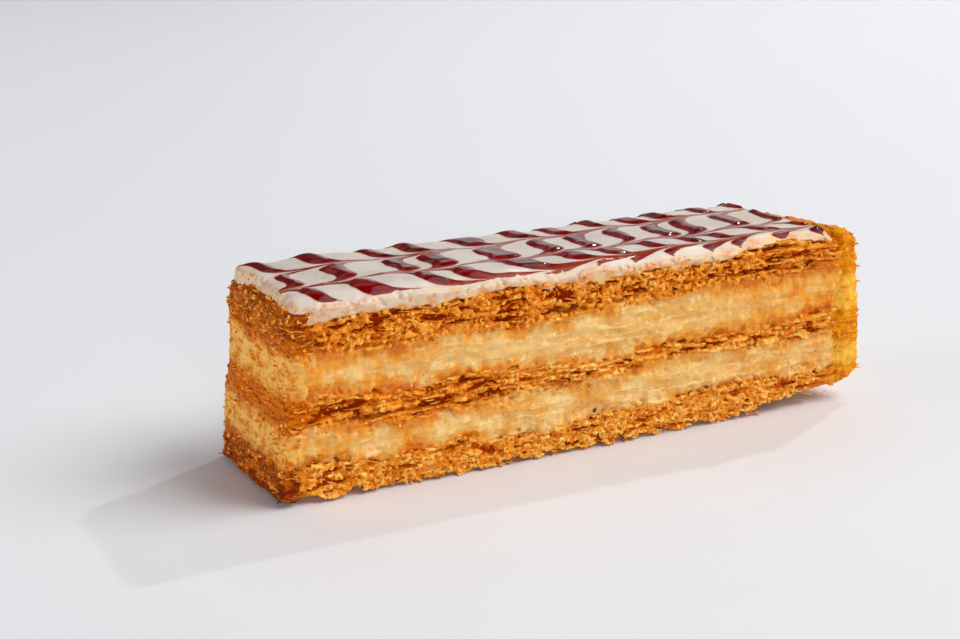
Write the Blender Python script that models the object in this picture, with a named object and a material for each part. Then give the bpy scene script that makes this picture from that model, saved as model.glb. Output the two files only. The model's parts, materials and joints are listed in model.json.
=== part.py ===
"""A slice of mille feuille: three pastry sheets, two custard layers and icing.

Lengths are in metres. +X runs along the slice, -Y is the long cut side that
shows the layers best, and +Z is up. Each layer is one closed solid that runs
right through the slice.
"""

import math

import bmesh
import bpy

SLICE_NAME = "mille_feuille_slice"

# Outline at the board, and how each side moves in by the top of the slice.
LEFT_END = -0.0772
RIGHT_END = 0.0784
HALF_WIDTH = 0.0180
FRONT_FLARE = 0.0010
BACK_FLARE = 0.0014
LEFT_LEAN_FRONT = 0.0030
LEFT_LEAN_BACK = 0.0062
RIGHT_LEAN_FRONT = 0.0046
RIGHT_LEAN_BACK = 0.0084
RIGHT_SKEW = 0.0055
LEFT_LEAN_POWER = 1.4
SLICE_HEIGHT = 0.0440
CORNER_RADIUS = 0.0014

# The underside rests flat, then curls up near the right end.
CURL_START = 0.0440
CURL_STEP = 0.0160
CURL_LIFT = 0.0024
CURL_TIP = 0.0028
CURL_TIP_RUN = 0.0100
CURL_FADE_TO_BACK = 6.0

# Clear space between layers that lie on each other.
LAYER_GAP = 0.0003

# Boundaries from the lowest up: mean height, rise towards the right end, then
# a long swell and a short ripple, each as height, length and phase.
BOUNDARIES = (
    (0.0081, 0.0009, (0.0009, 0.100, 5.3), (0.0005, 0.036, 1.6)),
    (0.0166, 0.0011, (0.0008, 0.120, 0.0), (0.0004, 0.054, 4.7)),
    (0.0221, 0.0004, (0.0009, 0.150, 4.3), (0.0008, 0.048, 5.4)),
    (0.0331, 0.0014, (0.0005, 0.110, 5.6), (0.0005, 0.035, 2.0)),
    (0.0400, 0.0010, (0.0005, 0.090, 3.7), (0.0004, 0.037, 5.1)),
    (0.0441, 0.0001, (0.0003, 0.160, 3.7), (0.0003, 0.023, 1.7)),
)
CROSS_SWAY = 38.0

# Cells along, across and up each solid, and how much they tighten at an end.
CELLS_ALONG = 32
CELLS_ACROSS = 7
CELLS_UP_PASTRY = 4
CELLS_UP_CREAM = 3
CELLS_UP_ICING = 3
END_TIGHTENING = 0.26

# How far each kind of layer stands out from the cut plane.
PASTRY_OVERHANG = 0.0003
LEAF_STEP = 0.0003
CREAM_RECESS = 0.0003
CREAM_BULGE = 0.0005
ICING_OVERHANG = 0.0002
ICING_SHOULDER = 0.0017
ICING_SHOULDER_FOOT = 0.3
ICING_EDGE_DROP = 0.0006
ICING_EDGE_START = 0.80
ICING_WAVE_SHARE = 0.6

# The saw marks of a cut side: depth, then each wave's length and share.
CUT_WAVE = 0.00035
CUT_WAVE_LONG = (0.041, 0.6)
CUT_WAVE_SHORT = (0.023, 0.4)
CUT_WAVE_SHIFTS = (1.9, 3.1)
CUT_WAVE_SLANT = 260.0
SIDE_SHIFT = 0.1

PASTRY_COLOUR = (0.56, 0.25, 0.07, 1.0)
CREAM_COLOUR = (0.86, 0.62, 0.27, 1.0)
ICING_COLOUR = (0.80, 0.70, 0.62, 1.0)


def clear_scene():
    """Remove whatever the scene holds at the start."""
    for item in list(bpy.data.objects):
        bpy.data.objects.remove(item, do_unlink=True)


def smooth_step(start, end, value):
    """Ease from 0 to 1 as the value goes from start to end."""
    share = min(max((value - start) / (end - start), 0.0), 1.0)
    return share * share * (3.0 - 2.0 * share)


def underside_height(x, y):
    """Height of the underside: flat, with the right end curled up."""
    step = CURL_LIFT * smooth_step(CURL_START, CURL_START + CURL_STEP, x)
    tip = CURL_TIP * smooth_step(RIGHT_END - CURL_TIP_RUN, RIGHT_END, x)
    return (step + tip) * (1.0 - CURL_FADE_TO_BACK * (y + HALF_WIDTH))


def boundary_height(index, x, y):
    """Height of the boundary with this number; number -1 is the underside."""
    if index < 0:
        return underside_height(x, y)
    mean, rise, swell, ripple = BOUNDARIES[index]
    height = mean + rise * x / RIGHT_END
    for depth, length, phase in (swell, ripple):
        turn = 2.0 * math.pi * x / length + phase + CROSS_SWAY * (y + HALF_WIDTH)
        height += depth * math.sin(turn)
    return height


def end_position(side, y_share, height_share):
    """Where an end of the slice stands, for a share of the way from front to back."""
    if side < 0:
        lean = LEFT_LEAN_FRONT + (LEFT_LEAN_BACK - LEFT_LEAN_FRONT) * y_share
        return LEFT_END + lean * height_share ** LEFT_LEAN_POWER
    lean = RIGHT_LEAN_FRONT + (RIGHT_LEAN_BACK - RIGHT_LEAN_FRONT) * y_share
    return RIGHT_END - RIGHT_SKEW * y_share - lean * height_share


def cut_wave(along, height, layer):
    """Slow in and out movement of a cut side."""
    offset = 0.0
    for (length, share), shift in zip((CUT_WAVE_LONG, CUT_WAVE_SHORT), CUT_WAVE_SHIFTS):
        turn = 2.0 * math.pi * along / length + shift * layer + CUT_WAVE_SLANT * height
        offset += share * math.sin(turn)
    return CUT_WAVE * offset


def tighten(share):
    """Spread even steps from -1 to 1 so that they are closer at both ends."""
    return share * (1.0 + END_TIGHTENING) - END_TIGHTENING * share ** 3


def round_corner(x, y, left, right, front, back):
    """Bring a point near an upright corner of the outline onto a round corner."""
    centre_x = min(max(x, left + CORNER_RADIUS), right - CORNER_RADIUS)
    centre_y = min(max(y, front + CORNER_RADIUS), back - CORNER_RADIUS)
    away_x = x - centre_x
    away_y = y - centre_y
    distance = math.hypot(away_x, away_y)
    if distance < 1e-9:
        return x, y
    keep = max(abs(away_x), abs(away_y)) / distance
    return centre_x + away_x * keep, centre_y + away_y * keep


def side_offset(kind, level, along, height, layer):
    """How far a side stands out at a level from 0, its foot, to 1, its top."""
    offset = cut_wave(along, height, layer)
    if kind == "pastry":
        step = LEAF_STEP * math.cos(level * 4.0 * math.pi)
        return offset + PASTRY_OVERHANG + step
    if kind == "cream":
        bulge = CREAM_BULGE * math.sin(level * math.pi)
        return offset - CREAM_RECESS + bulge
    rounding = max(level - ICING_SHOULDER_FOOT, 0.0) / (1.0 - ICING_SHOULDER_FOOT)
    return offset * ICING_WAVE_SHARE + ICING_OVERHANG - ICING_SHOULDER * rounding ** 2


def shape_layer(mesh, kind, layer):
    """Move the points of a unit grid box to the shape of one layer."""
    low_gap = 0.0 if layer == 0 else LAYER_GAP / 2.0
    high_gap = 0.0 if layer == len(BOUNDARIES) - 1 else LAYER_GAP / 2.0
    for point in mesh.verts:
        along = tighten(point.co.x * 2.0)
        across = tighten(point.co.y * 2.0)
        level = point.co.z + 0.5
        y_share = (across + 1.0) / 2.0
        rough_x = along * RIGHT_END
        rough_y = across * HALF_WIDTH
        low = boundary_height(layer - 1, rough_x, rough_y)
        high = boundary_height(layer, rough_x, rough_y)
        height = low + (high - low) * level
        share = height / SLICE_HEIGHT
        front_out = side_offset(kind, level, rough_x, height, layer)
        back_out = side_offset(kind, level, rough_x + SIDE_SHIFT, height, layer)
        left_out = side_offset(kind, level, rough_y - SIDE_SHIFT, height, layer)
        right_out = side_offset(kind, level, rough_y - 2.0 * SIDE_SHIFT, height, layer)
        left = end_position(-1, y_share, share) - left_out
        right = end_position(1, y_share, share) + right_out
        front = -HALF_WIDTH - FRONT_FLARE * share - front_out
        back = HALF_WIDTH + BACK_FLARE * share + back_out
        x = left + (right - left) * (along + 1.0) / 2.0
        y = front + (back - front) * y_share
        x, y = round_corner(x, y, left, right, front, back)
        low = boundary_height(layer - 1, x, y) + low_gap
        high = boundary_height(layer, x, y) - high_gap
        if kind == "icing":
            edge = max(abs(along), abs(across))
            high -= ICING_EDGE_DROP * smooth_step(ICING_EDGE_START, 1.0, edge)
        point.co = (x, y, low + (high - low) * level)


def split_edges(mesh, axis, cells):
    """Divide the box into this many cells along one axis."""
    chosen = []
    for edge in mesh.edges:
        run = edge.verts[1].co - edge.verts[0].co
        if abs(run[axis]) > 0.5:
            chosen.append(edge)
    bmesh.ops.subdivide_edges(mesh, edges=chosen, cuts=cells - 1, use_grid_fill=True)


def make_material(name, colour, roughness):
    """Plain material of one colour."""
    material = bpy.data.materials.new(name)
    material.use_nodes = True
    shader = material.node_tree.nodes["Principled BSDF"]
    shader.inputs["Base Color"].default_value = colour
    shader.inputs["Roughness"].default_value = roughness
    return material


def make_layer(name, kind, layer, cells_up, colour, roughness, home):
    """Build one layer from a cube and put it in the slice's collection."""
    mesh = bmesh.new()
    bmesh.ops.create_cube(mesh, size=1.0)
    split_edges(mesh, 0, CELLS_ALONG)
    split_edges(mesh, 1, CELLS_ACROSS)
    split_edges(mesh, 2, cells_up)
    shape_layer(mesh, kind, layer)
    bmesh.ops.recalc_face_normals(mesh, faces=mesh.faces)
    data = bpy.data.meshes.new(name)
    mesh.to_mesh(data)
    mesh.free()
    data.materials.append(make_material(name, colour, roughness))
    item = bpy.data.objects.new(name, data)
    home.objects.link(item)
    return item


def rest_on_origin(items):
    """Shift all layers so that the middle of their box's bottom is the origin."""
    points = [point.co for item in items for point in item.data.vertices]
    middle_x = (min(p.x for p in points) + max(p.x for p in points)) / 2.0
    middle_y = (min(p.y for p in points) + max(p.y for p in points)) / 2.0
    foot = min(p.z for p in points)
    for point in points:
        point.x -= middle_x
        point.y -= middle_y
        point.z -= foot


def main():
    """Build the slice."""
    clear_scene()
    home = bpy.data.collections.new(SLICE_NAME)
    bpy.context.scene.collection.children.link(home)
    layers = (
        ("pastry_bottom", "pastry", CELLS_UP_PASTRY, PASTRY_COLOUR, 0.60),
        ("cream_lower", "cream", CELLS_UP_CREAM, CREAM_COLOUR, 0.35),
        ("pastry_middle", "pastry", CELLS_UP_PASTRY, PASTRY_COLOUR, 0.60),
        ("cream_upper", "cream", CELLS_UP_CREAM, CREAM_COLOUR, 0.35),
        ("pastry_top", "pastry", CELLS_UP_PASTRY, PASTRY_COLOUR, 0.60),
        ("icing", "icing", CELLS_UP_ICING, ICING_COLOUR, 0.25),
    )
    items = []
    for layer, (name, kind, cells_up, colour, roughness) in enumerate(layers):
        items.append(make_layer(name, kind, layer, cells_up, colour, roughness, home))
    rest_on_origin(items)


main()
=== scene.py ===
import json
import math

import bpy
import numpy as np
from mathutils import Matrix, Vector

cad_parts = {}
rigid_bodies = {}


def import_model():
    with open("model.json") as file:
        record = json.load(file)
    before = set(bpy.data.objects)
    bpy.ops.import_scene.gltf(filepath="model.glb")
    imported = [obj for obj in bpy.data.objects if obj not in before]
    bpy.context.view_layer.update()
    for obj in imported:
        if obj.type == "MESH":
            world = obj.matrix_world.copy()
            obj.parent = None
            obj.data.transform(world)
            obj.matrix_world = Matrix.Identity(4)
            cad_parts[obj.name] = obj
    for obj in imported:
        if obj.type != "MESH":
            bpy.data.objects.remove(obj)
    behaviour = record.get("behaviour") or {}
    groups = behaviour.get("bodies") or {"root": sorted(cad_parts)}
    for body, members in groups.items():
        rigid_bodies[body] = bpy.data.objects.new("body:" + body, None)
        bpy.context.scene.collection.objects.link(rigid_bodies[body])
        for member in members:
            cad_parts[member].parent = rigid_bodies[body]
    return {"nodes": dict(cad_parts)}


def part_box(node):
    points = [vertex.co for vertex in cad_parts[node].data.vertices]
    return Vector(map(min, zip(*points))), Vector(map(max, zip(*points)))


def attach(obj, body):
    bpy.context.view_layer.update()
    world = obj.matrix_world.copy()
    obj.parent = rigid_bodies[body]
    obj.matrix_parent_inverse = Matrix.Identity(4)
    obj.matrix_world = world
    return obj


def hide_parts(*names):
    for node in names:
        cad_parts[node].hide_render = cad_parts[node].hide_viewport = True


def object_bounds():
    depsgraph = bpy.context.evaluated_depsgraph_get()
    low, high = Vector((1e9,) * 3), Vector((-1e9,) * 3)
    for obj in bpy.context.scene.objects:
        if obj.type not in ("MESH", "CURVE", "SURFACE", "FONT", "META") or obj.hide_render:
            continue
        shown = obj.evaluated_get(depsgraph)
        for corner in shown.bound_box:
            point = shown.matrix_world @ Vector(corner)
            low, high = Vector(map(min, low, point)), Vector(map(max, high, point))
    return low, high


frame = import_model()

mm = 0.001
cadBox = [list(corner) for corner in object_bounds()]


class Wire:
    # a node socket that can stand in a Python expression
    def __init__(self, graph, socket):
        self.graph = graph
        self.socket = socket

    def out(self, name):
        return Wire(self.graph, self.socket.node.outputs[name])

    def __add__(self, other):
        return self.graph.maths("ADD", self, other)

    def __radd__(self, other):
        return self.graph.maths("ADD", other, self)

    def __sub__(self, other):
        return self.graph.maths("SUBTRACT", self, other)

    def __rsub__(self, other):
        return self.graph.maths("SUBTRACT", other, self)

    def __mul__(self, other):
        return self.graph.maths("MULTIPLY", self, other)

    def __rmul__(self, other):
        return self.graph.maths("MULTIPLY", other, self)

    def __truediv__(self, other):
        return self.graph.maths("DIVIDE", self, other)

    def __gt__(self, other):
        return self.graph.maths("GREATER_THAN", self, other)

    def __lt__(self, other):
        return self.graph.maths("LESS_THAN", self, other)


def isVector(value):
    if isinstance(value, Wire):
        return value.socket.type in ("VECTOR", "RGBA", "ROTATION")
    return isinstance(value, (tuple, Vector))


class Graph:
    # node tree of a material or of a geometry modifier
    def __init__(self, tree):
        self.tree = tree

    def add(self, kind, settings=None, inputs=None, out=0):
        node = self.tree.nodes.new(kind)
        for name, value in (settings or {}).items():
            if name == "stops":
                setStops(node.color_ramp, value)
            else:
                setattr(node, name, value)
        for name, value in (inputs or {}).items():
            self.plug(node.inputs[name], value)
        return Wire(self, node.outputs[out]) if len(node.outputs) else node

    def plug(self, socket, value):
        if isinstance(value, Wire):
            self.tree.links.new(value.socket, socket)
        elif value is not None:
            socket.default_value = value

    def maths(self, operation, *values):
        kind = "ShaderNodeVectorMath" if any(isVector(v) for v in values) else "ShaderNodeMath"
        if kind == "ShaderNodeVectorMath":
            values = [v if isVector(v) or isinstance(v, Wire) else (v, v, v) for v in values]
        return self.add(kind, {"operation": operation}, dict(enumerate(values)))

    def least(self, first, second):
        return self.maths("MINIMUM", first, second)

    def most(self, first, second):
        return self.maths("MAXIMUM", first, second)

    def bare(self, value):
        # a value without its sign
        return self.maths("ABSOLUTE", value)

    def step(self, value, low, high, start=0.0, end=1.0, kind="SMOOTHSTEP"):
        return self.add("ShaderNodeMapRange", {"interpolation_type": kind},
                        {"Value": value, "From Min": low, "From Max": high, "To Min": start, "To Max": end})

    def band(self, value, start, full, fading, end):
        # 1 from full to fading, and 0 before the start and past the end
        return self.step(value, start, full) * self.step(value, fading, end, 1.0, 0.0)

    def noise(self, place, size, detail=2.0, roughness=0.5):
        # size is the width of one blotch in metres, or one width for each axis
        if isinstance(size, tuple):
            place = place * tuple(1.0 / s for s in size)
            scale = 1.0
        else:
            scale = 1.0 / size
        return self.add("ShaderNodeTexNoise", None,
                        {"Vector": place, "Scale": scale, "Detail": detail, "Roughness": roughness})

    def mix(self, share, first, second):
        return self.add("ShaderNodeMix", {"data_type": "RGBA"},
                        {0: share, 6: colour(first), 7: colour(second)}, 2)

    def ramp(self, value, tones, places):
        stops = [(place, screenColour(*tone)) for place, tone in zip(places, tones)]
        return self.add("ShaderNodeValToRGB", {"stops": stops}, {0: value})


def setStops(ramp, stops):
    while len(ramp.elements) < len(stops):
        ramp.elements.new(0.5)
    for element, (place, shade) in zip(ramp.elements, stops):
        element.position = place
        element.color = colour(shade)


def colour(value):
    if isinstance(value, Wire):
        return value
    return tuple(value) if len(value) == 4 else (*value, 1.0)


def screenColour(red, green, blue):
    # a colour as a screen shows it, 0 to 255, made linear
    def linear(v):
        v = v / 255.0
        return v / 12.92 if v <= 0.04045 else ((v + 0.055) / 1.055) ** 2.4
    return (linear(red), linear(green), linear(blue))


def clearSelection():
    bpy.ops.object.select_all(action="DESELECT")
    bpy.context.view_layer.objects.active = None


def pick(item):
    clearSelection()
    item.select_set(True)
    bpy.context.view_layer.objects.active = item


def applyAll(item):
    pick(item)
    for modifier in list(item.modifiers):
        bpy.ops.object.modifier_apply(modifier=modifier.name)


def copyOfNode(node, name):
    # a copy of a solid with its loose triangles merged
    source = frame["nodes"][node]
    item = bpy.data.objects.new(name, source.data.copy())
    bpy.context.scene.collection.objects.link(item)
    item.data.materials.clear()
    pick(item)
    bpy.ops.object.mode_set(mode="EDIT")
    bpy.ops.mesh.select_all(action="SELECT")
    bpy.ops.mesh.remove_doubles(threshold=0.00001)
    bpy.ops.object.mode_set(mode="OBJECT")
    return item


def geometryTree(name):
    tree = bpy.data.node_groups.new(name, "GeometryNodeTree")
    tree.interface.new_socket("Geometry", in_out="INPUT", socket_type="NodeSocketGeometry")
    tree.interface.new_socket("Geometry", in_out="OUTPUT", socket_type="NodeSocketGeometry")
    graph = Graph(tree)
    entry = graph.add("NodeGroupInput")
    return graph, entry


def runTree(item, graph, geometry):
    graph.add("NodeGroupOutput", None, {0: geometry})
    modifier = item.modifiers.new("nodes", "NODES")
    modifier.node_group = graph.tree
    pick(item)
    bpy.ops.object.modifier_apply(modifier=modifier.name)


def newMaterial(name, finish):
    # the finish holds what is even all over: shine, how far light goes into it, and the strength of any
    # painted glow
    material = bpy.data.materials.new(name)
    material.use_nodes = True
    shader = material.node_tree.nodes["Principled BSDF"]
    for socket, value in finish.items():
        shader.inputs[socket].default_value = value
    return material, Graph(material.node_tree), shader


def roughen(graph, shader, strength, distance, height):
    bump = graph.add("ShaderNodeBump", None, {"Strength": strength, "Distance": distance, "Height": height})
    graph.plug(shader.inputs["Normal"], bump)


def attribute(graph, name):
    return graph.add("ShaderNodeAttribute", {"attribute_name": name}, None, "Fac")


# camera, floor and lights

view = {
    "turn": -29.66, "tilt": 15.15, "distance": 0.389, "target": (-0.0097, 0.0198, 0.0225),
    "lens": 60.0,
}


def directionOf(turn, tilt):
    # from the slice towards a place at this turn about Z and this tilt up
    a, e = math.radians(turn), math.radians(tilt)
    return Vector((math.sin(a) * math.cos(e), -math.cos(a) * math.cos(e), math.sin(e)))


def makeCamera():
    data = bpy.data.cameras.new("camera")
    data.lens = view["lens"]
    data.sensor_width = 36.0
    data.clip_start = 0.01
    camera = bpy.data.objects.new("camera", data)
    bpy.context.scene.collection.objects.link(camera)
    back = directionOf(view["turn"], view["tilt"])
    camera.location = Vector(view["target"]) + back * view["distance"]
    camera.rotation_euler = back.to_track_quat("Z", "Y").to_euler()
    bpy.context.scene.camera = camera


lights = {
    "key": {"turn": 60.0, "tilt": 50.0, "distance": 5.0, "size": 4.2, "power": 246.0,
            "tint": (1.0, 0.975, 0.95)},
    "sun": {"turn": 117.0, "tilt": 43.0, "distance": 3.0, "size": 0.10, "power": 13.2,
            "tint": (1.0, 0.975, 0.95)},
    "back": {"turn": 165.0, "tilt": 50.0, "distance": 5.0, "size": 3.5, "power": 22.0,
             "tint": (0.98, 0.985, 1.0)},
    "left": {"turn": -104.0, "tilt": 9.0, "distance": 5.0, "size": 2.6, "power": 118.0,
             "tint": (1.0, 0.98, 0.955)},
    "right": {"turn": 138.0, "tilt": 7.0, "distance": 5.0, "size": 3.6, "power": 26.0,
              "tint": (0.97, 0.98, 1.0)},
    "low": {"turn": -20.0, "tilt": 9.0, "distance": 5.0, "size": 2.6, "power": 104.0,
            "tint": (0.965, 0.98, 1.0)},
}
room = {"strength": 0.08, "tint": (0.88, 0.94, 1.0)}
floorLook = {"size": 12.0, "height": -0.05 * mm,
             "finish": {"Base Color": (0.785, 0.805, 0.845, 1.0), "Roughness": 0.6}}


def makeStage():
    clearSelection()
    bpy.ops.mesh.primitive_plane_add(size=floorLook["size"], location=(0, 0, floorLook["height"]))
    floor = bpy.context.object
    floor.name = "floor"
    floor.data.transform(floor.matrix_world)
    floor.matrix_world.identity()
    floor.data.materials.append(newMaterial("paleFloor", floorLook["finish"])[0])
    for name, look in lights.items():
        data = bpy.data.lights.new(name, "AREA")
        data.shape = "DISK"
        data.size = look["size"]
        data.energy = look["power"]
        data.color = look["tint"]
        lamp = bpy.data.objects.new(name, data)
        bpy.context.scene.collection.objects.link(lamp)
        towards = directionOf(look["turn"], look["tilt"])
        lamp.location = towards * look["distance"]
        lamp.rotation_euler = towards.to_track_quat("Z", "Y").to_euler()
    world = bpy.data.worlds.new("room")
    world.use_nodes = True
    back = world.node_tree.nodes["Background"]
    back.inputs["Color"].default_value = colour(room["tint"])
    back.inputs["Strength"].default_value = room["strength"]
    bpy.context.scene.world = world
    bpy.context.scene.view_settings.view_transform = "Standard"


# what all layers share
cut = {
    "rim": 3.2 * mm,         # how far in from a cut side the surface is worked out
    "hollow": 5.0 * mm,      # past this the hidden tops and undersides are single faces
    "sway": 1.9, "swaySize": (9.0 * mm, 9.0 * mm, 30 * mm),       # mm, how unevenly two layers meet
    "fray": 1.3, "fraySize": (2.1 * mm, 2.1 * mm, 2.6 * mm),      # mm, the same on a small scale
    "wallTilt": 0.75,        # a wall's normal points less up or down than this
    "drawnIn": (0.965, 0.88, 0.0),   # where a layer's heights are read, as shares of a place
}
far = 0.1   # metres, well clear of the slice
lastBorder = 4   # borders between layers are numbered upwards from 0


def parts(graph, vector):
    split = graph.add("ShaderNodeSeparateXYZ", None, {0: vector}, "X")
    return split, split.out("Y"), split.out("Z")


def upward(graph, value):
    return graph.add("ShaderNodeCombineXYZ", None, {"Z": value})


def nearest(graph, mesh, place, element):
    return graph.add("GeometryNodeProximity", {"target_element": element},
                     {"Geometry": mesh, "Sample Position": place}, "Distance")


def shoot(graph, mesh, source, way, out):
    # what a ray straight up, 1, or down, -1, meets
    return graph.add("GeometryNodeRaycast", None,
                     {"Target Geometry": mesh, "Source Position": source,
                      "Ray Direction": (0.0, 0.0, way), "Ray Length": 2.0 * far}, out)


def without(graph, mesh, selection, domain="FACE"):
    return graph.add("GeometryNodeDeleteGeometry", {"domain": domain},
                     {"Geometry": mesh, "Selection": selection})


def insideOf(graph, mesh, place):
    # distance into a closed mesh, in metres, less than nothing outside it
    upright = parts(graph, shoot(graph, mesh, place, 1.0, "Hit Normal"))[2]
    return nearest(graph, mesh, place, "FACES") * ((upright > 0.0) * 2.0 - 1.0)


def pressedFlat(graph, mesh, selection, domain="FACE"):
    here = graph.add("GeometryNodeInputPosition")
    left = without(graph, mesh, selection, domain)
    return graph.add("GeometryNodeSetPosition", None, {"Geometry": left, "Position": here * (1.0, 1.0, 0.0)})


def depthFromSides(graph, mesh, place):
    # distance in from the cut sides, read on the solid's walls pressed flat
    tilt = graph.bare(parts(graph, graph.add("GeometryNodeInputNormal"))[2])
    walls = pressedFlat(graph, mesh, tilt > cut["wallTilt"])
    return nearest(graph, walls, place * (1.0, 1.0, 0.0), "EDGES")


def depthFromOutline(graph, mesh, place):
    # distance in from the outline of the solid's foot, less than nothing outside it
    upright = parts(graph, graph.add("GeometryNodeInputNormal"))[2]
    foot = pressedFlat(graph, mesh, upright > -cut["wallTilt"])
    shared = graph.add("GeometryNodeInputMeshEdgeNeighbors") > 1.5
    outline = pressedFlat(graph, foot, shared, "EDGE")
    flat = place * (1.0, 1.0, 0.0)
    hit = shoot(graph, foot, flat + (0.0, 0.0, -far), 1.0, "Is Hit")
    return nearest(graph, outline, flat, "EDGES") * (hit * 2.0 - 1.0)


def layerHeights(graph, mesh, place):
    # heights above the layer's foot and below its top, in mm, read just inside its outline
    drawnIn = place * cut["drawnIn"]
    top = shoot(graph, mesh, drawnIn + (0.0, 0.0, far), -1.0, "Hit Position")
    foot = shoot(graph, mesh, drawnIn + (0.0, 0.0, -far), 1.0, "Hit Position")
    z = parts(graph, place)[2]
    return (z - parts(graph, foot)[2]) * 1000.0, (parts(graph, top)[2] - z) * 1000.0


def borderShift(graph, place, border):
    # how far up or down, in mm, two layers meet off their even border; both of them read it
    there = place + (0.11 * border, 0.07 * border, 0.0)
    slow = graph.noise(there, cut["swaySize"], 1.0, 0.5) - 0.5
    fast = graph.noise(there, cut["fraySize"], 2.0, 0.6) - 0.5
    return slow * (2.0 * cut["sway"]) + fast * (2.0 * cut["fray"])


def shiftedPlace(graph, place, rise, drop, border, grow):
    # the place as it was before the borders of this layer moved; border is the lower one's number
    share = graph.step(rise / (rise + drop + 0.001), 0.0, 1.0, kind="LINEAR")
    shift = (share - 0.5) * (2.0 * grow)
    if border >= 0:
        shift = shift + borderShift(graph, place, border) * (1.0 - share)
    if border < lastBorder:
        shift = shift + borderShift(graph, place, border + 1) * share
    return place + upward(graph, shift * -mm)


def keep(graph, mesh, name, value):
    return graph.add("GeometryNodeStoreNamedAttribute", {"data_type": "FLOAT", "domain": "POINT"},
                     {"Geometry": mesh, "Name": name, "Value": value})


def volumeMesh(graph, body, low, high, voxel, adaptivity):
    counts = [int((b - a) / s) for a, b, s in zip(low, high, voxel)]
    volume = graph.add("GeometryNodeVolumeCube", None,
                       {"Density": body * 1000.0, "Background": -1.0,
                        "Min": tuple(low), "Max": tuple(high), "Resolution X": counts[0],
                        "Resolution Y": counts[1], "Resolution Z": counts[2]})
    return graph.add("GeometryNodeVolumeToMesh", {"resolution_mode": "GRID"},
                     {"Volume": volume, "Threshold": 0.0, "Adaptivity": adaptivity})


def roomAround(node, margin):
    low, high = (Vector(corner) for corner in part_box(node))
    return low - Vector((margin,) * 3), high + Vector((margin,) * 3)


def finishVolume(piece, limit):
    # closes the hidden hollows with single faces and thins the mesh to its limit
    pick(piece)
    bpy.ops.object.mode_set(mode="EDIT")
    bpy.ops.mesh.select_all(action="SELECT")
    bpy.ops.mesh.fill_holes(sides=0)
    bpy.ops.object.mode_set(mode="OBJECT")
    total = countTriangles(piece)
    if total > limit:
        thin = piece.modifiers.new("thin", "DECIMATE")
        thin.ratio = limit / total
        applyAll(piece)
        countTriangles(piece)


def countTriangles(piece):
    total = sum(len(face.vertices) - 2 for face in piece.data.polygons)
    print(piece.name, "has", total, "triangles")
    return total


# smears that the knife left over both ends; places and depths in mm
# glint is a painted highlight colour
smears = {
    "rightSmear": {
        "low": 55.0, "high": 81.0, "face": 1.0, "start": 68.6, "lean": -0.04, "skew": -5.5,
        "backLean": -0.10, "run": 4.0, "sunk": 2.4, "proud": -0.35, "under": -0.9, "seed": 41.0,
        "trimRun": (-1.0, 5.0), "trim": 0.9, "paintedShade": 0.25,
        "base": (238, 157, 18), "pale": (250, 198, 76), "deep": (200, 88, 2), "glint": (254, 220, 132)},
    "leftSmear": {
        "low": -80.0, "high": -63.0, "face": -1.0, "start": -73.4, "lean": 0.10, "skew": 0.0,
        "backLean": 0.08, "run": 2.5, "sunk": 2.2, "proud": 0.10, "under": 2.6, "seed": 53.0,
        "trimRun": (-1.5, 3.0), "trim": 0.7, "paintedShade": 0.9,
        "base": (216, 110, 0), "pale": (244, 192, 96), "deep": (112, 24, 0), "glint": (248, 206, 132)},
}
smearCut = {
    "voxel": (0.34 * mm,) * 3, "quickVoxel": (0.46 * mm,) * 3,
    "margin": 1.5, "adaptivity": 0.1, "limit": 150000,
    "leafSize": (5.0 * mm, 5.0 * mm, 0.75 * mm), "leafDepth": 1.5, "crumbSize": 1.2 * mm, "crumbDepth": 1.3,
    "patchSize": (3.0 * mm, 3.0 * mm, 3.4 * mm), "patch": 7.0, "tuck": 2.4, "underStart": 4.6,
    "footFrom": (64 * mm, 78 * mm), "foot": (0.8, 7.2),   # the foot rises to the right by this
    "front": -18.0, "width": 36.0,
}
growth = {"along": (-74 * mm, -66 * mm), "up": (24 * mm, 36 * mm), "out": 1.2 * mm}


def leftGrowth(graph, x, z):
    # the left end comes forward near its top, in metres
    return graph.step(x, *growth["along"], 1.0, 0.0) * graph.step(z, *growth["up"]) * growth["out"]


def pastStart(look, x, y, z):
    # how far past the start of an end's smear a place is, in mm; the start leans with the end
    toBack = (y * 1000.0 - smearCut["front"]) * (1.0 / smearCut["width"])
    lean = z * (look["lean"] * 1000.0) + toBack * (z * (look["backLean"] * 1000.0) + look["skew"])
    return (x * 1000.0 - (lean + look["start"])) * look["face"]


def endTrim(graph, x, y, z):
    # how far the layers are cut back at both ends to leave room for the smears, in metres
    right, left = (graph.step(pastStart(look, x, y, z), *look["trimRun"]) * look["trim"]
                   for look in smears.values())
    return (right + left) * mm - leftGrowth(graph, x, z)


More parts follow.
